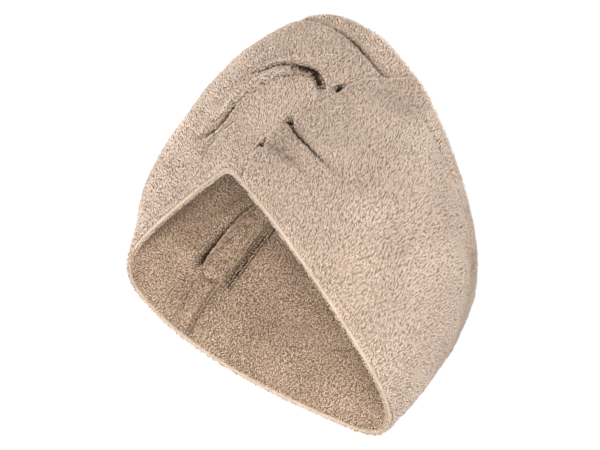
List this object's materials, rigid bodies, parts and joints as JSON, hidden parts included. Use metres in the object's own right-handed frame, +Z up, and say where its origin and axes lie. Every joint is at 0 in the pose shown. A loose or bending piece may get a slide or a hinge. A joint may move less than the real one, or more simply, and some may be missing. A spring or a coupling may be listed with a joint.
{
  "type": "spa headband",
  "caption": "Wide terry spa headband with a crossed twist at the front and a padded nape, lying on its nape with the head opening facing the front.",
  "frame": {"origin": "centre of the flat nape face that the headband lies on", "axes": "+X along the nape, +Y from the near rim to the far rim through the head opening, +Z up to the twist"},
  "size_m": [0.2396, 0.1881, 0.1348],
  "materials": {
    "terry_outer": "sand cotton terry with a short looped pile",
    "terry_lining": "darker sand cotton terry, inner face",
    "terry_hem": "light sand terry rolled over the rim",
    "thread": "matte sewing thread",
    "elastic": "flat woven elastic"
  },
  "bodies": {
    "root": {"right_outer_panel": "terry_outer", "right_lining_panel": "terry_lining", "left_outer_panel": "terry_outer", "left_lining_panel": "terry_lining", "right_near_hem": "terry_hem", "right_far_hem": "terry_hem", "left_near_hem": "terry_hem", "left_far_hem": "terry_hem", "right_near_hem_stitch": "thread", "right_far_hem_stitch": "thread", "left_near_hem_stitch": "thread", "left_far_hem_stitch": "thread", "nape_seam_cover": "terry_lining", "nape_seam_stitch_left": "thread", "nape_seam_stitch_right": "thread", "nape_elastic": "elastic", "twist_tack_near": "thread", "twist_tack_far": "thread"}
  },
  "joints": []
}
